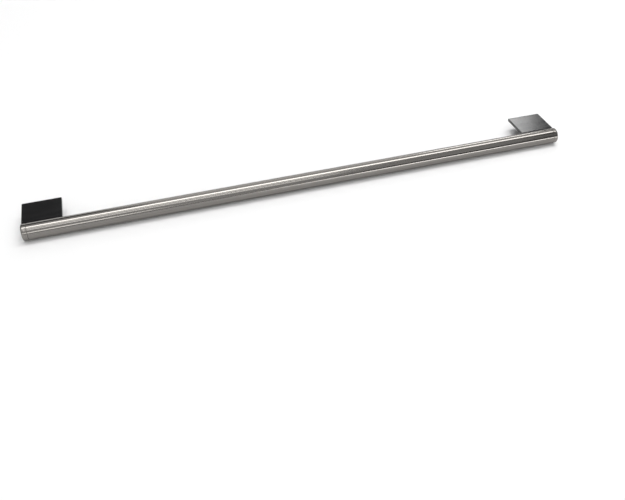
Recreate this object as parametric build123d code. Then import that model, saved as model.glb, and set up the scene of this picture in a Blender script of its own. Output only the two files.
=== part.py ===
from build123d import *
import os
from math import sqrt

# Oven door handle: a round stainless bar on two black brackets, which screws to the door from inside.
# Millimetres, as fitted on a closed upright door.
# +X runs along the bar, +Y points into the door and +Z is up.
# The origin is on the face of the door, midway between the two door screws.
# Both ends are alike, so every piece but the bar is modelled at the +X end and mirrored.
# Threads are left out: a tapped hole is drawn at the outer diameter of its thread.

# Bar
overall_length = 548.0
bar_diameter = 16.0
bar_wall = 1.2
seam_chamfer = 0.25

# Place of the bar in front of the door, and of the brackets' outer sides inside its ends
bar_axis_to_door = 35.5
bracket_inset = 0.75

# End plug: a rim that closes the bar, and a spigot that the bracket's screws pull on
plug_rim_length = 5.0
plug_rim_round = 1.2
plug_past_screw = 8.0
plug_spigot_clearance = 0.05
plug_lead_chamfer = 1.0

# Bracket: a flat plate behind the crown of the bar, on a keel that holds the screws
bracket_width = 36.5
plate_thickness = 2.8
plate_below_crown = 1.4
plate_nose_height = 0.8
plate_edge_round = 0.4
saddle_clearance = 0.05
keel_side_wall = 1.9
keel_bottom_wall = 0.9
keel_bevel = 4.6
keel_edge_round = 0.8
keel_root_round = 1.0
door_edge_chamfer = 0.3
core_pocket_length = 5.0
core_pocket_wall = 2.0

# Bracket screws: M3 x 16 socket cap screws, each on a small washer
screw_diameter = 3.0
screw_length = 16.0
screw_head_diameter = 5.5
screw_head_height = 3.0
screw_head_chamfer = 0.3
screw_socket_width = 2.5
screw_socket_depth = 1.5
screw_tip_chamfer = 0.4
screw_spacing = 17.0
screw_above_axis = 1.2
screw_engagement = 6.0
screw_hole_clearance = 0.2
thread_clearance = 0.05
tapped_hole_past_tip = 1.5
washer_diameter = 6.0
washer_thickness = 0.5
washer_hole_clearance = 0.1
counterbore_clearance = 0.2

# Door insert: a knurled brass bush for an M5 door screw. It bears on the door through the gasket.
door_screw_diameter = 5.0
insert_diameter = 7.0
insert_length = 9.5
insert_waist_length = 1.9
insert_waist_depth = 0.4
insert_mouth_chamfer = 0.4
knurl_depth = 0.25
knurl_flutes = 18
door_screw_clearance = 0.25
door_screw_room = 8.0

# Door gasket: a thin pad between the bracket and the door
gasket_thickness = 0.8
gasket_inset = 0.3
gasket_hole_clearance = 0.1

# How near a corner of a section has to be to the place where it is looked for
near = 0.01

# Radii that follow
bar_radius = bar_diameter / 2
bar_bore_radius = bar_radius - bar_wall
spigot_radius = bar_bore_radius - plug_spigot_clearance
saddle_radius = bar_radius + saddle_clearance
screw_radius = screw_diameter / 2
screw_hole_radius = screw_radius + screw_hole_clearance
tapped_hole_radius = screw_radius + thread_clearance
washer_radius = washer_diameter / 2
counterbore_radius = washer_radius + counterbore_clearance
door_screw_radius = door_screw_diameter / 2
door_screw_hole_radius = door_screw_radius + door_screw_clearance
insert_radius = insert_diameter / 2

# Places along X
bar_length = overall_length - 2 * plug_rim_length
bar_end_x = bar_length / 2
plug_end_x = overall_length / 2
bracket_x = plug_end_x - bracket_inset - bracket_width / 2
outer_screw_x = bracket_x + screw_spacing / 2
inner_screw_x = bracket_x - screw_spacing / 2
spigot_start_x = inner_screw_x - plug_past_screw

# Places along Y, from the bar to the door
bar_y = -bar_axis_to_door
screw_tip_y = bar_y + spigot_radius - screw_engagement
screw_head_y = screw_tip_y + screw_length
washer_y = screw_head_y - washer_thickness
door_y = 0.0
bracket_door_y = door_y - gasket_thickness
insert_bar_y = door_y - insert_length

# Heights, and the half width of the keel that goes round the screws
plate_top_z = bar_radius - plate_below_crown
plate_under_z = plate_top_z - plate_thickness
keel_bottom_z = -(insert_radius + keel_bottom_wall)
keel_half_width = screw_spacing / 2 + counterbore_radius + keel_side_wall

# Where the nose of the plate is as high as plate_nose_height above the saddle
nose_y = bar_y + sqrt(saddle_radius**2 - (plate_top_z - plate_nose_height) ** 2)

FROM_START = (Align.CENTER, Align.CENTER, Align.MIN)


def rod_along_x(radius, x_start, x_end):
    """A cylinder on the bar's axis."""
    rod = Cylinder(radius, x_end - x_start, align=FROM_START)
    return Pos(x_start, bar_y, 0) * Rot(0, 90, 0) * rod


def rod_along_y(radius, x, z, y_start, y_end):
    """A cylinder that points at the door."""
    rod = Cylinder(radius, y_end - y_start, align=FROM_START)
    return Pos(x, y_start, z) * Rot(-90, 0, 0) * rod


def bar_tube():
    """The bar, with a hole in its back for each bracket screw."""
    tube = rod_along_x(bar_radius, -bar_end_x, bar_end_x)
    tube = chamfer(tube.edges().filter_by(GeomType.CIRCLE), seam_chamfer)
    tube -= rod_along_x(bar_bore_radius, -bar_end_x, bar_end_x)
    for x in (-outer_screw_x, -inner_screw_x, inner_screw_x, outer_screw_x):
        tube -= rod_along_y(screw_hole_radius, x, screw_above_axis, bar_y, bar_y + bar_radius)
    return tube


def end_plug():
    """A turned plug: its rim carries on the line of the bar, and its spigot is tapped for the screws."""
    rim = rod_along_x(bar_radius, bar_end_x, plug_end_x)
    rim = fillet(rim.edges().sort_by(Axis.X)[-1], plug_rim_round)
    rim = chamfer(rim.edges().sort_by(Axis.X)[0], seam_chamfer)
    spigot = rod_along_x(spigot_radius, spigot_start_x, bar_end_x)
    spigot = chamfer(spigot.edges().sort_by(Axis.X)[0], plug_lead_chamfer)
    plug = rim + spigot
    for x in (inner_screw_x, outer_screw_x):
        plug -= rod_along_y(
            tapped_hole_radius,
            x,
            screw_above_axis,
            screw_tip_y - tapped_hole_past_tip,
            bar_y + bar_radius,
        )
    return plug


def both_corners(section, x, z):
    """The corner of a section at x and z, and its mirror image."""
    return section.vertices().filter_by(lambda at: abs(abs(at.X) - x) < near and abs(at.Y - z) < near)


def bracket_section():
    """The bracket as seen from the door: a wide plate over a keel with bevelled lower edges."""
    half_width = bracket_width / 2
    bevel_top_z = keel_bottom_z + keel_bevel
    foot_half_width = keel_half_width - keel_bevel
    right_side = [
        (half_width, plate_top_z),
        (half_width, plate_under_z),
        (keel_half_width, plate_under_z),
        (keel_half_width, bevel_top_z),
        (foot_half_width, keel_bottom_z),
    ]
    left_side = [(-x, z) for x, z in reversed(right_side)]
    section = make_face(Polyline(*right_side, *left_side, close=True))
    rounds = [plate_edge_round, plate_edge_round, keel_root_round, keel_edge_round, keel_edge_round]
    for corner, radius in zip(right_side, rounds):
        section = fillet(both_corners(section, *corner), radius)
    return section


def bracket_prism(section, y_bar_side, y_door_side):
    """A section of the bracket, drawn in X and Z, drawn out between two places along Y."""
    on_door_side = Plane.XZ.offset(-y_door_side)
    prism = extrude(on_door_side * section, y_door_side - y_bar_side)
    return Pos(bracket_x, 0, 0) * prism


def bracket():
    """A moulded bracket, hollowed round the bar, counterbored for its screws and cored from below."""
    body = bracket_prism(bracket_section(), nose_y, bracket_door_y)
    outline = body.faces().sort_by(Axis.Y)[-1].outer_wire()
    body = chamfer(outline.edges(), door_edge_chamfer)
    body -= rod_along_x(saddle_radius, -overall_length, overall_length)
    for x in (inner_screw_x, outer_screw_x):
        body -= rod_along_y(screw_hole_radius, x, screw_above_axis, bar_y, washer_y)
        body -= rod_along_y(counterbore_radius, x, screw_above_axis, washer_y, bracket_door_y)
    body -= rod_along_y(insert_radius, bracket_x, 0, insert_bar_y, bracket_door_y)
    body -= rod_along_y(door_screw_hole_radius, bracket_x, 0, insert_bar_y - door_screw_room, insert_bar_y)
    pocket_width = screw_spacing - 2 * (screw_hole_radius + core_pocket_wall)
    pocket = Box(
        pocket_width,
        core_pocket_length,
        plate_under_z - keel_bottom_z,
        align=(Align.CENTER, Align.MIN, Align.MIN),
    )
    return body - Pos(bracket_x, bar_y + saddle_radius + core_pocket_wall, keel_bottom_z) * pocket


def bracket_screw(x):
    """A socket cap screw, driven from the door side into the plug."""
    shank = rod_along_y(screw_radius, x, screw_above_axis, screw_tip_y, screw_head_y)
    shank = chamfer(shank.edges().sort_by(Axis.Y)[0], screw_tip_chamfer)
    head_end_y = screw_head_y + screw_head_height
    head = rod_along_y(screw_head_diameter / 2, x, screw_above_axis, screw_head_y, head_end_y)
    head = chamfer(head.edges().sort_by(Axis.Y)[-1], screw_head_chamfer)
    hexagon = RegularPolygon(screw_socket_width / 2, 6, major_radius=False)
    socket = Rot(90, 0, 0) * extrude(hexagon, screw_socket_depth)
    return shank + head - Pos(x, head_end_y, screw_above_axis) * socket


def screw_washer(x):
    """A flat washer under the head of a bracket screw."""
    washer = rod_along_y(washer_radius, x, screw_above_axis, washer_y, screw_head_y)
    hole_radius = screw_radius + washer_hole_clearance
    return washer - rod_along_y(hole_radius, x, screw_above_axis, washer_y, screw_head_y)


def door_insert():
    """A tapped bush set in the bracket: two knurled bands with a waist between them."""
    bush = rod_along_y(insert_radius, bracket_x, 0, insert_bar_y, door_y)
    flute = Rot(-90, 0, 0) * extrude(RegularPolygon(knurl_depth, 4), insert_length)
    for turn in PolarLocations(insert_radius, knurl_flutes):
        around = Pos(bracket_x, insert_bar_y, 0) * Rot(90, 0, 0) * turn * Rot(-90, 0, 0)
        bush -= around * flute
    waist_start_y = insert_bar_y + (insert_length - insert_waist_length) / 2
    waist_end_y = waist_start_y + insert_waist_length
    waist = rod_along_y(insert_radius, bracket_x, 0, waist_start_y, waist_end_y)
    waist_core_radius = insert_radius - insert_waist_depth
    bush -= waist - rod_along_y(waist_core_radius, bracket_x, 0, waist_start_y, waist_end_y)
    bush -= rod_along_y(door_screw_radius, bracket_x, 0, insert_bar_y, door_y)
    mouth = bush.faces().sort_by(Axis.Y)[-1].inner_wires()[0]
    return chamfer(mouth.edges(), insert_mouth_chamfer)


def door_gasket():
    """A flat pad cut to the bracket's outline, with a hole over each hole in the bracket."""
    pad = bracket_prism(offset(bracket_section(), -gasket_inset), bracket_door_y, door_y)
    for x in (inner_screw_x, outer_screw_x):
        pad -= rod_along_y(counterbore_radius, x, screw_above_axis, bracket_door_y, door_y)
    hole_radius = insert_radius + gasket_hole_clearance
    return pad - rod_along_y(hole_radius, bracket_x, 0, bracket_door_y, door_y)


end_pieces = {
    "end_plug": end_plug(),
    "bracket": bracket(),
    "bracket_screw_outer": bracket_screw(outer_screw_x),
    "bracket_screw_inner": bracket_screw(inner_screw_x),
    "screw_washer_outer": screw_washer(outer_screw_x),
    "screw_washer_inner": screw_washer(inner_screw_x),
    "door_insert": door_insert(),
    "door_gasket": door_gasket(),
}

nodes = {"bar_tube": bar_tube()}
for name, piece in end_pieces.items():
    nodes[name + "_right"] = piece
    nodes[name + "_left"] = mirror(piece, about=Plane.YZ)

os.makedirs("parts", exist_ok=True)
for name, solid in nodes.items():
    solid.label = name
    export_step(solid, "parts/" + name + ".step")
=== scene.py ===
# Oven door handle: a straight ground stainless bar on two black moulded brackets, lying on a pale floor.
# Metres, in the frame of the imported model: +X along the bar, +Y into the door, +Z up.
import math

import bmesh
import bpy
from mathutils import Matrix, Vector


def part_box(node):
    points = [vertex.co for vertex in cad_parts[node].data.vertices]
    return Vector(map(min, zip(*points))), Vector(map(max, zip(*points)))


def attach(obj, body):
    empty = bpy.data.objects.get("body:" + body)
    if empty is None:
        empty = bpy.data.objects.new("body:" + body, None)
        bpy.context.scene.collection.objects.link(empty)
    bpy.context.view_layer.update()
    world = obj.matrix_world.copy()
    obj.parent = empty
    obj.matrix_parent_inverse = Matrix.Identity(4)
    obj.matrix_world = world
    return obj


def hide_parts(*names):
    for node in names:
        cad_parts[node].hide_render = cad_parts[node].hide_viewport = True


MM = 0.001

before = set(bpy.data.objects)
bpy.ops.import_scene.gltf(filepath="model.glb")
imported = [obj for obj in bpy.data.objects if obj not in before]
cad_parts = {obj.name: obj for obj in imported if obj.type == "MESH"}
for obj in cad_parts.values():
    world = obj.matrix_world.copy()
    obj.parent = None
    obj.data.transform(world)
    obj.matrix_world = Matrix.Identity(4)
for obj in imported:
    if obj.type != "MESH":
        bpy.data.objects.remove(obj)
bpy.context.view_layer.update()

# Sizes of the form that the frame's boxes don't give, in millimetres
BAR_WALL = 1.2
SEAM_CHAMFER = 0.25
RIM_ROUND = 1.2
SPIGOT_LEAD = 1.0
BORE_CLEARANCE = 0.05
SADDLE_CLEARANCE = 0.05
PLATE_THICKNESS = 2.8
PLATE_EDGE_ROUND = 0.4
KEEL_SIDE_WALL = 1.9
KEEL_BEVEL = 4.6
KEEL_EDGE_ROUND = 0.8
KEEL_ROOT_ROUND = 1.0
DOOR_EDGE_CHAMFER = 0.3
CORE_POCKET_LENGTH = 5.0
CORE_POCKET_WALL = 2.0
SCREW_THREAD = 3.0
SCREW_HOLE_CLEARANCE = 0.2
THREAD_CLEARANCE = 0.05
TAPPED_HOLE_PAST_TIP = 1.5
COUNTERBORE_CLEARANCE = 0.2
SCREW_TIP_CHAMFER = 0.4
SCREW_HEAD_CHAMFER = 0.3
SOCKET_WIDTH = 2.5
SOCKET_DEPTH = 1.5
KNURL_DEPTH = 0.12
WASHER_HOLE_CLEARANCE = 0.1
WASHER_EDGE_BREAK = 0.06
DOOR_SCREW_THREAD = 5.0
DOOR_SCREW_CLEARANCE = 0.25
DOOR_SCREW_ROOM = 8.0
INSERT_WAIST = 1.9
INSERT_WAIST_DEPTH = 0.4
INSERT_MOUTH_CHAMFER = 0.4
FLUTE_DEPTH = 0.25
GASKET_INSET = 0.3
GASKET_HOLE_CLEARANCE = 0.1

# How far a cutter runs past the piece that it cuts, in millimetres
CUTTER_OVERRUN = 5.0

# Faces and edges are picked by place, to within NEAR_MM, and by normal: a face looks one way when more
# than the share FACING of its normal points that way
NEAR_MM = 0.01
FACING = 0.9

# How finely round pieces and rounded edges are divided
BAR_SIDES = 192
HOLE_SIDES = 48
ROUND_STEPS = 6
BREAK_STEPS = 2

# How many ridges or flutes go round the knurled pieces, and how many sides each of them takes up
HEAD_RIDGES = 40
SIDES_PER_RIDGE = 2
INSERT_FLUTES = 18
SIDES_PER_FLUTE = 4

# An edge lies in a flute when it is off the flute's line by less than this share of the flutes' spacing
FLUTE_MATCH = 0.1

# An edge that turns by less than GENTLE_EDGE degrees is smoothed over. In a bracket's block, one that
# turns by less than FLAT_WITHIN degrees is taken out.
GENTLE_EDGE = 35.0
FLAT_WITHIN = 1.0

# Studio, in metres: the round floor, and how far the softboxes stand from the bar
FLOOR_RADIUS = 1.1
FLOOR_SIDES = 96
STUDIO_REACH = 2.0

# How far above level the studio's pale walls reach and where its dim ceiling starts, in degrees,
# and how bright each is
WALL_TOP = 6.0
CEILING_START = 12.0
WALL_LEVEL = 0.95
CEILING_LEVEL = 0.16

# Camera: where it stands, which way it looks and its lens, fitted to the outlines in the photograph
CAMERA_PLACE_MM = (-154.39, -563.75, 404.25)
CAMERA_YAW = -16.431
CAMERA_BELOW_LEVEL = 42.163
CAMERA_ROLL = 0.4515
FOCAL_LENGTH_PX = 683.305
PHOTO_WIDTH_PX = 625
SENSOR_WIDTH_MM = 36.0
NEAREST_SEEN_MM = 10

# Places that the frame gives
bar_low, bar_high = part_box("bar_tube")
bar_axis = (bar_low + bar_high) / 2
bar_radius = (bar_high.z - bar_low.z) / 2
spigot_radius = bar_radius - (BAR_WALL + BORE_CLEARANCE) * MM
saddle_radius = bar_radius + SADDLE_CLEARANCE * MM
bracket_low, bracket_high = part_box("bracket_right")
bracket_x = (bracket_low.x + bracket_high.x) / 2
plate_under_z = bracket_high.z - PLATE_THICKNESS * MM
washer_low, washer_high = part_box("screw_washer_outer_right")
washer_radius = (washer_high.z - washer_low.z) / 2
counterbore_radius = washer_radius + COUNTERBORE_CLEARANCE * MM
screw_low, screw_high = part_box("bracket_screw_outer_right")
screw_x = (screw_low.x + screw_high.x) / 2
screw_z = (screw_low.z + screw_high.z) / 2
screw_reach = screw_x - bracket_x
screw_hole_radius = (SCREW_THREAD / 2 + SCREW_HOLE_CLEARANCE) * MM
keel_reach = screw_reach + counterbore_radius + KEEL_SIDE_WALL * MM
insert_low, insert_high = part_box("door_insert_right")
insert_z = (insert_low.z + insert_high.z) / 2
insert_radius = (insert_high.z - insert_low.z) / 2
screw_places = {"inner": bracket_x - screw_reach, "outer": bracket_x + screw_reach}


# Modelling steps

def deselect():
    bpy.ops.object.select_all(action="DESELECT")


def only(piece):
    """Makes a piece the one that operators act on."""
    deselect()
    piece.select_set(True)
    bpy.context.view_layer.objects.active = piece


def settle(piece):
    """Puts a piece's place, turn and size into its mesh."""
    only(piece)
    bpy.ops.object.transform_apply(location=True, rotation=True, scale=True)


def rod(name, start, end, radius, sides):
    """A cylinder from one point to another."""
    start, end = Vector(start), Vector(end)
    along = end - start
    deselect()
    bpy.ops.mesh.primitive_cylinder_add(
        vertices=sides,
        radius=radius,
        depth=along.length,
        location=(start + end) / 2,
        rotation=along.to_track_quat("Z", "Y").to_euler(),
    )
    piece = bpy.context.object
    piece.name = piece.data.name = name
    settle(piece)
    return piece


def bar_rod(name, x_start, x_end, radius):
    """A cylinder on the axis of the bar."""
    return rod(name, (x_start, *bar_axis.yz), (x_end, *bar_axis.yz), radius, BAR_SIDES)


def door_rod(name, x, z, y_start, y_end, radius, sides=HOLE_SIDES):
    """A cylinder that points at the door."""
    return rod(name, (x, y_start, z), (x, y_end, z), radius, sides)


def block(name, low, high):
    """A box between two corners."""
    low, high = Vector(low), Vector(high)
    deselect()
    bpy.ops.mesh.primitive_cube_add(size=1, location=(low + high) / 2, scale=high - low)
    piece = bpy.context.object
    piece.name = piece.data.name = name
    settle(piece)
    return piece


def start_editing(piece, mode, action="DESELECT"):
    """Opens a piece in edit mode. The mode is VERT, EDGE or FACE."""
    only(piece)
    bpy.ops.object.mode_set(mode="EDIT")
    bpy.ops.mesh.select_mode(type=mode)
    bpy.ops.mesh.select_all(action=action)


def stop_editing():
    bpy.ops.object.mode_set(mode="OBJECT")


def select_faces(piece, wanted):
    """Opens a piece and selects the faces whose middle and normal are wanted."""
    start_editing(piece, "FACE")
    mesh = bmesh.from_edit_mesh(piece.data)
    for face in mesh.faces:
        face.select_set(wanted(face.calc_center_median(), face.normal))
    bmesh.update_edit_mesh(piece.data)


def select_edges(piece, wanted):
    """Opens a piece and selects the edges whose two ends are wanted."""
    start_editing(piece, "EDGE")
    mesh = bmesh.from_edit_mesh(piece.data)
    for edge in mesh.edges:
        edge.select_set(wanted(edge.verts[0].co, edge.verts[1].co))
    bmesh.update_edit_mesh(piece.data)


def near(a, b):
    return abs(a - b) < NEAR_MM * MM


def from_bar_axis(point):
    return math.hypot(point.y - bar_axis.y, point.z - bar_axis.z)


def from_line(point, x, z):
    """How far a point is from a line that points at the door."""
    return math.hypot(point.x - x, point.z - z)


def bar_ring(x, radius):
    """A test for the edges of a ring about the bar's axis."""
    return lambda a, b: all(near(end.x, x) and near(from_bar_axis(end), radius) for end in (a, b))


def door_ring(x, z, y, radius):
    """A test for the edges of a ring about a line that points at the door."""
    return lambda a, b: all(near(end.y, y) and near(from_line(end, x, z), radius) for end in (a, b))


def bevel_edges(piece, wanted, width, steps=1):
    select_edges(piece, wanted)
    bpy.ops.mesh.bevel(offset=width, segments=steps, affect="EDGES")
    stop_editing()


def bisect(piece, point, normal):
    """Divides all of a piece's faces where a plane crosses them."""
    start_editing(piece, "FACE", "SELECT")
    bpy.ops.mesh.bisect(plane_co=point, plane_no=normal)
    stop_editing()


def cut_away(piece, cutter):
    """Takes the form of a cutter out of a piece, and deletes the cutter."""
    only(piece)
    cut = piece.modifiers.new("cut", "BOOLEAN")
    cut.operation = "DIFFERENCE"
    cut.solver = "EXACT"
    cut.object = cutter
    bpy.ops.object.modifier_apply(modifier=cut.name)
    bpy.data.objects.remove(cutter)


def smooth(piece):
    """Smooths over gentle edges, and keeps the larger faces flat."""
    only(piece)
    bpy.ops.object.shade_smooth_by_angle(angle=math.radians(GENTLE_EDGE))
    weighted = piece.modifiers.new("weighted", "WEIGHTED_NORMAL")
    weighted.keep_sharp = True
    bpy.ops.object.modifier_apply(modifier=weighted.name)


def flute(piece, x, z, radius, flutes, depth):
    """Moves evenly spaced long edges of a rod that points at the door inwards."""

    def on_flute(a, b):
        turn = math.atan2(a.z - z, a.x - x) / (2 * math.pi) * flutes
        at_radius = all(near(from_line(end, x, z), radius) for end in (a, b))
        return at_radius and not near(a.y, b.y) and abs(turn - round(turn)) < FLUTE_MATCH

    select_edges(piece, on_flute)
    share = 1 - depth / radius
    bpy.ops.transform.resize(value=(share, 1, share), center_override=(x, 0, z))
    stop_editing()


def mirrored(piece, name):
    """A copy of a right-hand piece, turned into the left-hand one."""
    only(piece)
    bpy.ops.object.duplicate()
    copy = bpy.context.object
    copy.name = copy.data.name = name
    copy.scale.x = -1
    settle(copy)
    start_editing(copy, "FACE", "SELECT")
    bpy.ops.mesh.normals_make_consistent(inside=False)
    stop_editing()
    return copy


# Pieces

def make_bar():
    """The ground tube: chamfered at both seams, with a hole in its back for each bracket screw."""
    bar = bar_rod("ground_bar", bar_low.x, bar_high.x, bar_radius)
    select_faces(bar, lambda middle, normal: abs(normal.x) > FACING)
    bpy.ops.mesh.inset(thickness=BAR_WALL * MM)
    bpy.ops.mesh.bridge_edge_loops()
    stop_editing()
    for x in (bar_low.x, bar_high.x):
        bevel_edges(bar, bar_ring(x, bar_radius), SEAM_CHAMFER * MM)
    past_back = bar_axis.y + 2 * bar_radius
    for x in screw_places.values():
        for side in (-1, 1):
            cut_away(bar, door_rod("drill", side * x, screw_z, bar_axis.y, past_back, screw_hole_radius))
    return bar


def make_end_plug():
    """The turned plug: a rounded rim on the line of the bar, and a spigot with two tapped holes."""
    low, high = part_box("end_plug_right")
    plug = bar_rod("turned_end_plug_right", bar_high.x, high.x, bar_radius)
    select_faces(plug, lambda middle, normal: normal.x < -FACING)
    bpy.ops.mesh.inset(thickness=bar_radius - spigot_radius)
    bpy.ops.mesh.extrude_region_move(TRANSFORM_OT_translate={"value": (low.x - bar_high.x, 0, 0)})
    stop_editing()
    bevel_edges(plug, bar_ring(low.x, spigot_radius), SPIGOT_LEAD * MM)
    bevel_edges(plug, bar_ring(bar_high.x, bar_radius), SEAM_CHAMFER * MM)
    bevel_edges(plug, bar_ring(high.x, bar_radius), RIM_ROUND * MM, ROUND_STEPS)
    hole_radius = (SCREW_THREAD / 2 + THREAD_CLEARANCE) * MM
    hole_end = screw_low.y - TAPPED_HOLE_PAST_TIP * MM
    back = bar_axis.y + bar_radius
    for x in screw_places.values():
        cut_away(plug, door_rod("tapped_hole", x, screw_z, hole_end, back, hole_radius))
    return plug


def bracket_block(name, low_y, high_y, inset):
    """A plate on a bevelled keel, drawn out from low_y to high_y, with every side moved in by inset."""
    half_width = (bracket_high.x - bracket_low.x) / 2 - inset
    keel_half_width = keel_reach - inset
    top_z = bracket_high.z - inset
    under_z = plate_under_z + inset
    bottom_z = bracket_low.z + inset
    # The bevel's slanted face moves in by the inset too, which leaves it narrower
    keel_bevel = KEEL_BEVEL * MM - inset * (2 - math.sqrt(2))
    body = block(name, (bracket_x - half_width, low_y, under_z), (bracket_x + half_width, high_y, top_z))
    for side in (-1, 1):
        bisect(body, (bracket_x + side * keel_half_width, 0, 0), (1, 0, 0))
    select_faces(body, lambda middle, normal: normal.z < -FACING and near(middle.x, bracket_x))
    bpy.ops.mesh.extrude_region_move(TRANSFORM_OT_translate={"value": (0, 0, bottom_z - under_z)})
    bpy.ops.mesh.select_all(action="SELECT")
    bpy.ops.mesh.dissolve_limited(angle_limit=math.radians(FLAT_WITHIN))
    stop_editing()

    def corner(x, z):
        """A test for the two edges along Y at a distance from the middle and a height."""
        return lambda a, b: not near(a.y, b.y) and all(
            near(abs(end.x - bracket_x), x) and near(end.z, z) for end in (a, b)
        )

    bevel_edges(body, corner(keel_half_width, bottom_z), keel_bevel)
    # A round's width along each face is its radius times the tangent of half the turn
    square = math.tan(math.radians(45))
    blunt = math.tan(math.radians(22.5))
    for x, z, radius in (
        (keel_half_width - keel_bevel, bottom_z, (KEEL_EDGE_ROUND * MM - inset) * blunt),
        (keel_half_width, bottom_z + keel_bevel, (KEEL_EDGE_ROUND * MM - inset) * blunt),
        (keel_half_width, under_z, (KEEL_ROOT_ROUND * MM + inset) * square),
        (half_width, under_z, (PLATE_EDGE_ROUND * MM - inset) * square),
        (half_width, top_z, (PLATE_EDGE_ROUND * MM - inset) * square),
    ):
        bevel_edges(body, corner(x, z), radius, ROUND_STEPS)
    return body


def make_bracket():
    """The moulded bracket: hollowed round the bar, counterbored for its screws and cored from below."""
    back = bracket_high.y
    body = bracket_block("moulded_bracket_right", bracket_low.y, back, 0)
    bevel_edges(body, lambda a, b: near(a.y, back) and near(b.y, back), DOOR_EDGE_CHAMFER * MM)
    past = CUTTER_OVERRUN * MM
    cutters = [bar_rod("saddle", bracket_low.x - past, bracket_high.x + past, saddle_radius)]
    for x in screw_places.values():
        cutters.append(door_rod("screw_hole", x, screw_z, bar_axis.y, back, screw_hole_radius))
        cutters.append(door_rod("counterbore", x, screw_z, washer_low.y, past, counterbore_radius))
    tip_room_end = insert_low.y - DOOR_SCREW_ROOM * MM
    tip_room_radius = (DOOR_SCREW_THREAD / 2 + DOOR_SCREW_CLEARANCE) * MM
    cutters.append(door_rod("tip_room", bracket_x, insert_z, tip_room_end, back, tip_room_radius))
    cutters.append(door_rod("insert_bore", bracket_x, insert_z, insert_low.y, past, insert_radius))
    pocket_half_width = screw_reach - screw_hole_radius - CORE_POCKET_WALL * MM
    pocket_y = bar_axis.y + saddle_radius + CORE_POCKET_WALL * MM
    cutters.append(block(
        "core_pocket",
        (bracket_x - pocket_half_width, pocket_y, bracket_low.z - past),
        (bracket_x + pocket_half_width, pocket_y + CORE_POCKET_LENGTH * MM, plate_under_z),
    ))
    for cutter in cutters:
        cut_away(body, cutter)
    return body


def make_gasket():
    """The die-cut pad between bracket and door, with a hole over each hole of the bracket."""
    low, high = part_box("door_gasket_right")
    pad = bracket_block("die_cut_gasket_right", low.y, high.y, GASKET_INSET * MM)
    past = CUTTER_OVERRUN * MM
    for x in screw_places.values():
        cut_away(pad, door_rod("punch", x, screw_z, low.y - past, past, counterbore_radius))
    hole_radius = insert_radius + GASKET_HOLE_CLEARANCE * MM
    cut_away(pad, door_rod("punch", bracket_x, insert_z, low.y - past, past, hole_radius))
    return pad


def bored_disc(name, x, z, y_start, y_end, radius, hole_radius, sides=HOLE_SIDES):
    """A short tube that points at the door."""
    disc = door_rod(name, x, z, y_start, y_end, radius, sides)
    select_faces(disc, lambda middle, normal: abs(normal.y) > FACING)
    bpy.ops.mesh.inset(thickness=radius - hole_radius)
    bpy.ops.mesh.bridge_edge_loops()
    stop_editing()
    return disc


def make_washer(place, x):
    """A stamped flat washer, its outer edges just broken."""
    hole_radius = (SCREW_THREAD / 2 + WASHER_HOLE_CLEARANCE) * MM
    name = "plated_washer_" + place + "_right"
    washer = bored_disc(name, x, screw_z, washer_low.y, washer_high.y, washer_radius, hole_radius)
    for y in (washer_low.y, washer_high.y):
        rim = door_ring(x, screw_z, y, washer_radius)
        bevel_edges(washer, rim, WASHER_EDGE_BREAK * MM, BREAK_STEPS)
    return washer


def make_screw(place, x):
    """An M3 socket cap screw: a knurled head with a hexagon socket, on a shank with a chamfered tip."""
    head_y = washer_high.y
    head_radius = (screw_high.x - screw_low.x) / 2
    shank_radius = SCREW_THREAD / 2 * MM
    name = "socket_cap_screw_" + place + "_right"
    sides = HEAD_RIDGES * SIDES_PER_RIDGE
    screw = door_rod(name, x, screw_z, head_y, screw_high.y, head_radius, sides)
    select_faces(screw, lambda middle, normal: normal.y < -FACING)
    bpy.ops.mesh.inset(thickness=head_radius - shank_radius)
    bpy.ops.mesh.extrude_region_move(TRANSFORM_OT_translate={"value": (0, screw_low.y - head_y, 0)})
    stop_editing()
    bevel_edges(screw, door_ring(x, screw_z, screw_low.y, shank_radius), SCREW_TIP_CHAMFER * MM)
    bevel_edges(screw, door_ring(x, screw_z, screw_high.y, head_radius), SCREW_HEAD_CHAMFER * MM)
    flute(screw, x, screw_z, head_radius, HEAD_RIDGES, KNURL_DEPTH * MM)
    # The socket is a hexagon, whose corners lie further out than its flats
    socket_radius = SOCKET_WIDTH / 2 * MM / math.cos(math.pi / 6)
    depth = SOCKET_DEPTH * MM
    head_top = screw_high.y
    cut_away(screw, door_rod("socket", x, screw_z, head_top - depth, head_top + depth, socket_radius, 6))
    return screw


def make_insert():
    """The tapped brass bush: two fluted bands with a waist between them, and a chamfered mouth."""
    bore_radius = DOOR_SCREW_THREAD / 2 * MM
    bush = bored_disc(
        "knurled_insert_right", bracket_x, insert_z, insert_low.y, insert_high.y,
        insert_radius, bore_radius, INSERT_FLUTES * SIDES_PER_FLUTE,
    )
    middle_y = (insert_low.y + insert_high.y) / 2
    for side in (-1, 1):
        bisect(bush, (0, middle_y + side * INSERT_WAIST / 2 * MM, 0), (0, 1, 0))
    waist_outside = (insert_radius + bore_radius) / 2
    select_faces(bush, lambda middle, normal: (
        near(middle.y, middle_y) and from_line(middle, bracket_x, insert_z) > waist_outside
    ))
    inwards = -INSERT_WAIST_DEPTH * MM
    bpy.ops.mesh.extrude_region_shrink_fatten(TRANSFORM_OT_shrink_fatten={"value": inwards})
    stop_editing()
    mouth = door_ring(bracket_x, insert_z, insert_high.y, bore_radius)
    bevel_edges(bush, mouth, INSERT_MOUTH_CHAMFER * MM)
    flute(bush, bracket_x, insert_z, insert_radius, INSERT_FLUTES, FLUTE_DEPTH * MM)
    return bush


# Materials

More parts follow.
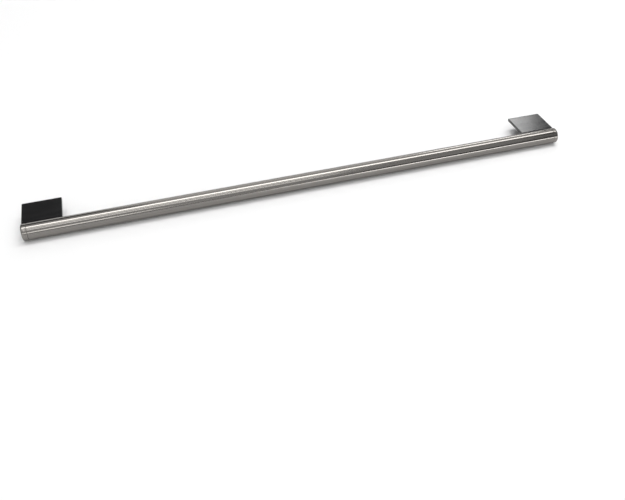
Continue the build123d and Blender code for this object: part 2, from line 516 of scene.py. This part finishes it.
def linear(hex_colour):
    """An sRGB hex colour as linear red, green, blue and an alpha of 1."""
    srgb = [int(hex_colour[at:at + 2], 16) / 255 for at in (1, 3, 5)]
    return [c / 12.92 if c <= 0.04045 else ((c + 0.055) / 1.055) ** 2.4 for c in srgb] + [1.0]


def add_node(tree, kind, inputs=None, **settings):
    """Adds a node. An input given a node or a socket is linked to it, and any other value is set."""
    node = tree.nodes.new(kind)
    for name, value in settings.items():
        setattr(node, name, value)
    sockets = {socket.name: socket for socket in reversed(node.inputs) if socket.enabled}
    for name, value in (inputs or {}).items():
        if isinstance(value, bpy.types.Node):
            value = next(output for output in value.outputs if output.enabled)
        if isinstance(value, bpy.types.NodeSocket):
            tree.links.new(value, sockets[name])
        else:
            sockets[name].default_value = value
    return node


def start_material(name):
    """A material with no nodes yet, and its node tree."""
    material = bpy.data.materials.new(name)
    material.use_nodes = True
    material.node_tree.nodes.clear()
    return material, material.node_tree


def pattern_space(tree, size_mm, centre=(0, 0, 0)):
    """Object coordinates about a centre, in which one unit is size_mm along X, Y and Z."""
    place = add_node(tree, "ShaderNodeTexCoord")
    return add_node(tree, "ShaderNodeMapping", {
        "Vector": place.outputs["Object"],
        "Location": centre,
        "Scale": [size * MM for size in size_mm],
    }, vector_type="TEXTURE")


def grain(tree, size_mm, detail=2.0):
    """A pattern of grains that measure size_mm along X, Y and Z, its usual range drawn out to 0 to 1."""
    space = pattern_space(tree, size_mm)
    noise = add_node(tree, "ShaderNodeTexNoise", {"Vector": space, "Scale": 1.0, "Detail": detail})
    usual_range = {"Value": noise, "From Min": 0.3, "From Max": 0.7}
    return add_node(tree, "ShaderNodeMapRange", usual_range, clamp=False)


def ground_stainless():
    """Stainless 304 tube, drawn and then ground round: faint lengthwise streaks under a satin shine."""
    material, tree = start_material("stainless_304_drawn_tube_ground_satin")
    # Drawing leaves long streaks about 0.1 mm wide, drawn at 0.7 mm so that they show
    streaks = grain(tree, (260, 0.7, 0.7), detail=3.0)
    colour = add_node(tree, "ShaderNodeMix", {
        "Factor": streaks, "A": linear("#777471"), "B": linear("#8A8783"),
    }, data_type="RGBA")
    # The belt polishes strips of about 3 mm a little more or less
    strips = grain(tree, (500, 3.0, 3.0))
    roughness = add_node(tree, "ShaderNodeMapRange", {"Value": strips, "To Min": 0.11, "To Max": 0.17})
    # The grit leaves rings about 0.05 mm apart, drawn ten times as coarse so that they show close by
    rings = grain(tree, (0.5, 30, 30))
    surface = add_node(tree, "ShaderNodeBump", {"Height": rings, "Distance": 0.00008 * MM})
    tangent = add_node(tree, "ShaderNodeTangent", direction_type="RADIAL", axis="X")
    shader = add_node(tree, "ShaderNodeBsdfPrincipled", {
        "Base Color": colour,
        "Metallic": 1.0,
        "Roughness": roughness,
        "Anisotropic": 0.5,
        "Anisotropic Rotation": 0.25,
        "Tangent": tangent,
        "Normal": surface,
    })
    add_node(tree, "ShaderNodeOutputMaterial", {"Surface": shader})
    return material


def turned_stainless():
    """Stainless 303 bar, faced and turned on a lathe: fine rings about the bar's axis."""
    material, tree = start_material("stainless_303_turned")
    # The tool's bite changes a little every few turns of the lathe, 0.5 to 0.8 mm along the bar
    bands = grain(tree, (0.8, 6, 6))
    colour = add_node(tree, "ShaderNodeMix", {
        "Factor": bands, "A": linear("#787572"), "B": linear("#898682"),
    }, data_type="RGBA")
    fine_bands = grain(tree, (0.5, 8, 8))
    roughness = add_node(tree, "ShaderNodeMapRange", {"Value": fine_bands, "To Min": 0.13, "To Max": 0.2})
    # The tool leaves a ring every 0.1 mm, drawn three times as coarse so that they show close by.
    # A wave of scale 1 repeats every pi / 10 units.
    ring_mm = 0.3
    one_ring = math.pi / 10
    rings = add_node(tree, "ShaderNodeTexWave", {
        "Vector": pattern_space(tree, (ring_mm, ring_mm, ring_mm), bar_axis),
        "Scale": one_ring, "Distortion": 0.6, "Detail": 1.0,
    }, wave_type="RINGS", rings_direction="X")
    surface = add_node(tree, "ShaderNodeBump", {"Height": rings, "Distance": 0.0006 * MM})
    tangent = add_node(tree, "ShaderNodeTangent", direction_type="RADIAL", axis="X")
    shader = add_node(tree, "ShaderNodeBsdfPrincipled", {
        "Base Color": colour,
        "Metallic": 1.0,
        "Roughness": roughness,
        "Anisotropic": 0.5,
        "Anisotropic Rotation": 0.25,
        "Tangent": tangent,
        "Normal": surface,
    })
    add_node(tree, "ShaderNodeOutputMaterial", {"Surface": shader})
    return material


def moulded_nylon():
    """Glass-filled nylon 6, injection moulded black: even, close to black, with a low soft shine."""
    material, tree = start_material("glass_filled_nylon_moulded_black")
    # The melt's flow leaves faint clouds of 5 to 14 mm
    flow = grain(tree, (14, 5, 5), detail=3.0)
    colour = add_node(tree, "ShaderNodeMix", {
        "Factor": flow, "A": linear("#0C0C0D"), "B": linear("#131314"),
    }, data_type="RGBA")
    roughness = add_node(tree, "ShaderNodeMapRange", {"Value": flow, "To Min": 0.13, "To Max": 0.18})
    # Spark-eroded mould texture, about 0.05 mm in the real part and drawn at 0.2 mm
    texture = grain(tree, (0.2, 0.2, 0.2))
    surface = add_node(tree, "ShaderNodeBump", {"Height": texture, "Distance": 0.0006 * MM})
    shader = add_node(tree, "ShaderNodeBsdfPrincipled", {
        "Base Color": colour,
        "Roughness": roughness,
        "IOR": 1.53,
        "Normal": surface,
    })
    add_node(tree, "ShaderNodeOutputMaterial", {"Surface": shader})
    return material


def zinc_plated_steel():
    """Class 8.8 steel, cold headed and zinc plated: bright, with a faint blue cloudiness."""
    material, tree = start_material("steel_zinc_plated")
    # The passivated film is uneven over about 1 mm
    clouds = grain(tree, (1.2, 1.2, 1.2), detail=3.0)
    colour = add_node(tree, "ShaderNodeMix", {
        "Factor": clouds, "A": linear("#A9ABAE"), "B": linear("#C2C3C3"),
    }, data_type="RGBA")
    roughness = add_node(tree, "ShaderNodeMapRange", {"Value": clouds, "To Min": 0.22, "To Max": 0.34})
    # Plating crystals, about 0.02 mm in the real part and drawn at 0.15 mm
    crystals = grain(tree, (0.15, 0.15, 0.15))
    surface = add_node(tree, "ShaderNodeBump", {"Height": crystals, "Distance": 0.0003 * MM})
    shader = add_node(tree, "ShaderNodeBsdfPrincipled", {
        "Base Color": colour,
        "Metallic": 1.0,
        "Roughness": roughness,
        "Normal": surface,
    })
    add_node(tree, "ShaderNodeOutputMaterial", {"Surface": shader})
    return material


def turned_brass():
    """Free-cutting brass, turned and knurled: warm yellow, with tool rings and a little dulling."""
    material, tree = start_material("brass_turned_and_knurled")
    # Handling dulls the brass in patches of a few millimetres
    dulling = grain(tree, (2.5, 2.5, 2.5), detail=3.0)
    colour = add_node(tree, "ShaderNodeMix", {
        "Factor": dulling, "A": linear("#B08E4B"), "B": linear("#CDB170"),
    }, data_type="RGBA")
    roughness = add_node(tree, "ShaderNodeMapRange", {"Value": dulling, "To Min": 0.22, "To Max": 0.36})
    # The tool's feed, 0.12 mm for each turn of the lathe
    tool_rings = grain(tree, (2, 0.12, 2))
    surface = add_node(tree, "ShaderNodeBump", {"Height": tool_rings, "Distance": 0.0003 * MM})
    shader = add_node(tree, "ShaderNodeBsdfPrincipled", {
        "Base Color": colour,
        "Metallic": 1.0,
        "Roughness": roughness,
        "Normal": surface,
    })
    add_node(tree, "ShaderNodeOutputMaterial", {"Surface": shader})
    return material


def gasket_rubber():
    """EPDM sheet, die cut: matt charcoal with a fine closed-cell surface."""
    material, tree = start_material("epdm_rubber_die_cut")
    # Closed cells of about 0.1 mm, drawn at 0.3 mm so that they show close by
    cells = grain(tree, (0.3, 0.3, 0.3), detail=3.0)
    colour = add_node(tree, "ShaderNodeMix", {
        "Factor": cells, "A": linear("#161617"), "B": linear("#232324"),
    }, data_type="RGBA")
    roughness = add_node(tree, "ShaderNodeMapRange", {"Value": cells, "To Min": 0.7, "To Max": 0.85})
    surface = add_node(tree, "ShaderNodeBump", {"Height": cells, "Distance": 0.004 * MM})
    shader = add_node(tree, "ShaderNodeBsdfPrincipled", {
        "Base Color": colour,
        "Roughness": roughness,
        "Normal": surface,
    })
    add_node(tree, "ShaderNodeOutputMaterial", {"Surface": shader})
    return material


def paper_sweep():
    """Matt white background paper."""
    material, tree = start_material("background_paper_matt_white")
    shader = add_node(tree, "ShaderNodeBsdfDiffuse", {"Color": linear("#F0F0F0")})
    add_node(tree, "ShaderNodeOutputMaterial", {"Surface": shader})
    return material


# The handle

def finish_piece(piece, node, material):
    """Smooths a piece, gives it its material, and lets it stand for its node."""
    smooth(piece)
    piece.data.materials.clear()
    piece.data.materials.append(material)
    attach(piece, "root")
    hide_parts(node)


def finish_pair(piece, node, material):
    """Finishes a right-hand piece and its mirror image. The node's name is given without its side."""
    left = mirrored(piece, piece.name.replace("_right", "_left"))
    finish_piece(left, node + "_left", material)
    finish_piece(piece, node + "_right", material)


plated = zinc_plated_steel()
finish_piece(make_bar(), "bar_tube", ground_stainless())
finish_pair(make_end_plug(), "end_plug", turned_stainless())
finish_pair(make_bracket(), "bracket", moulded_nylon())
finish_pair(make_gasket(), "door_gasket", gasket_rubber())
finish_pair(make_insert(), "door_insert", turned_brass())
for place, x in screw_places.items():
    finish_pair(make_screw(place, x), "bracket_screw_" + place, plated)
    finish_pair(make_washer(place, x), "screw_washer_" + place, plated)

# Floor
deselect()
bpy.ops.mesh.primitive_circle_add(
    vertices=FLOOR_SIDES, radius=FLOOR_RADIUS, fill_type="NGON", location=(0, 0, bar_low.z)
)
floor = bpy.context.object
floor.name = floor.data.name = "floor"
settle(floor)
floor.data.materials.append(paper_sweep())

# Camera
camera = bpy.data.objects.new("camera", bpy.data.cameras.new("camera"))
bpy.context.scene.collection.objects.link(camera)
camera.data.sensor_width = SENSOR_WIDTH_MM
camera.data.lens = FOCAL_LENGTH_PX * SENSOR_WIDTH_MM / PHOTO_WIDTH_PX
camera.data.clip_start = NEAREST_SEEN_MM * MM
camera.matrix_world = (
    Matrix.Translation(Vector(CAMERA_PLACE_MM) * MM)
    @ Matrix.Rotation(math.radians(CAMERA_YAW), 4, "Z")
    @ Matrix.Rotation(math.radians(90 - CAMERA_BELOW_LEVEL), 4, "X")
    @ Matrix.Rotation(-math.radians(CAMERA_ROLL), 4, "Z")
)
bpy.context.scene.camera = camera


# Lights

def over_bar(x, degrees):
    """A lamp's place: 0 degrees is level on the camera's side, 90 is overhead and 180 is at the back."""
    angle = math.radians(degrees)
    y = bar_axis.y - STUDIO_REACH * math.cos(angle)
    z = bar_axis.z + STUDIO_REACH * math.sin(angle)
    return Vector((x, y, z))


def softbox(name, start, end, spread, radiance):
    """An even lamp from start to end that faces the bar, spread degrees high as seen from there."""
    along = (end - start).normalized()
    place = (start + end) / 2
    away = place - Vector((min(max(place.x, bar_low.x), bar_high.x), *bar_axis.yz))
    away = (away - away.dot(along) * along).normalized()
    across = away.cross(along)
    width = (end - start).length
    height = 2 * STUDIO_REACH * math.tan(math.radians(spread / 2))
    lamp = bpy.data.lights.new(name, "AREA")
    lamp.shape = "RECTANGLE"
    lamp.size = width
    lamp.size_y = height
    lamp.energy = radiance * math.pi * width * height
    light = bpy.data.objects.new(name, lamp)
    bpy.context.scene.collection.objects.link(light)
    light.matrix_world = Matrix.Translation(place) @ Matrix((along, across, away)).transposed().to_4x4()


# The bright line along the top of the bar, and the softer light beside it towards the left
softbox("top", over_bar(-0.8, 98), over_bar(1.7, 97), spread=16, radiance=5.6)
softbox("beside_top", over_bar(-0.9, 77), over_bar(0.6, 77), spread=16, radiance=2.2)
# The two thin lines on the bar's left part, with dimmer light between them
softbox("upper_line", over_bar(-0.9, 60), over_bar(0.6, 57), spread=9, radiance=2.9)
softbox("lower_line", over_bar(-0.9, 22), over_bar(-0.15, 24), spread=13, radiance=2.7)
softbox("between_lines", over_bar(-0.9, 43), over_bar(0.6, 43), spread=17, radiance=0.8)
# The dark middle and the thin low line of the bar's right part
softbox("front_middle", over_bar(-0.1, 24), over_bar(0.6, 22), spread=18, radiance=0.65)
softbox("front_dim", over_bar(0.65, 56), over_bar(1.5, 56), spread=60, radiance=0.5)
softbox("horizon_middle", over_bar(0.3, 3.3), over_bar(0.7, 3.3), spread=6, radiance=3.2)
softbox("horizon_right", over_bar(0.7, 3.3), over_bar(2.0, 3.3), spread=6, radiance=5.6)
# The bar's far edge, and the shine that fades across the right bracket
softbox("back_middle", over_bar(-0.2, 124), over_bar(1.7, 124), spread=32, radiance=0.9)
softbox("back_low", over_bar(-0.3, 147), over_bar(0.94, 147), spread=14, radiance=1.6)
softbox("back_horizon", over_bar(-1.3, 164), over_bar(0.9, 164), spread=12, radiance=1.3)
softbox("back_left", over_bar(-1.2, 120), over_bar(-0.25, 120), spread=22, radiance=0.7)
softbox("back_right", over_bar(0.95, 147), over_bar(1.46, 147), spread=14, radiance=5.4)
# Light on the floor from both sides, which the bar doesn't mirror
softbox("side_left", over_bar(-2.6, 38), over_bar(-1.1, 38), spread=40, radiance=1.1)
softbox("side_right", over_bar(2.0, 38), over_bar(3.4, 38), spread=40, radiance=1.6)

# World: pale walls as bright as the floor, below a dim ceiling
world = bpy.data.worlds.new("studio")
bpy.context.scene.world = world
world.use_nodes = True
tree = world.node_tree
tree.nodes.clear()
direction = add_node(tree, "ShaderNodeTexCoord")
upwards = add_node(tree, "ShaderNodeSeparateXYZ", {"Vector": direction.outputs["Generated"]})
above_walls = add_node(tree, "ShaderNodeMapRange", {
    "Value": upwards.outputs["Z"],
    "From Min": math.sin(math.radians(WALL_TOP)),
    "From Max": math.sin(math.radians(CEILING_START)),
    "To Min": 0.0,
    "To Max": 1.0,
})
light = add_node(tree, "ShaderNodeMix", {
    "Factor": above_walls,
    "A": (WALL_LEVEL, WALL_LEVEL, WALL_LEVEL, 1.0),
    "B": (CEILING_LEVEL, CEILING_LEVEL, CEILING_LEVEL, 1.0),
}, data_type="RGBA")
background = add_node(tree, "ShaderNodeBackground", {"Color": light, "Strength": 1.0})
add_node(tree, "ShaderNodeOutputWorld", {"Surface": background})

bpy.context.scene.view_settings.view_transform = "Standard"
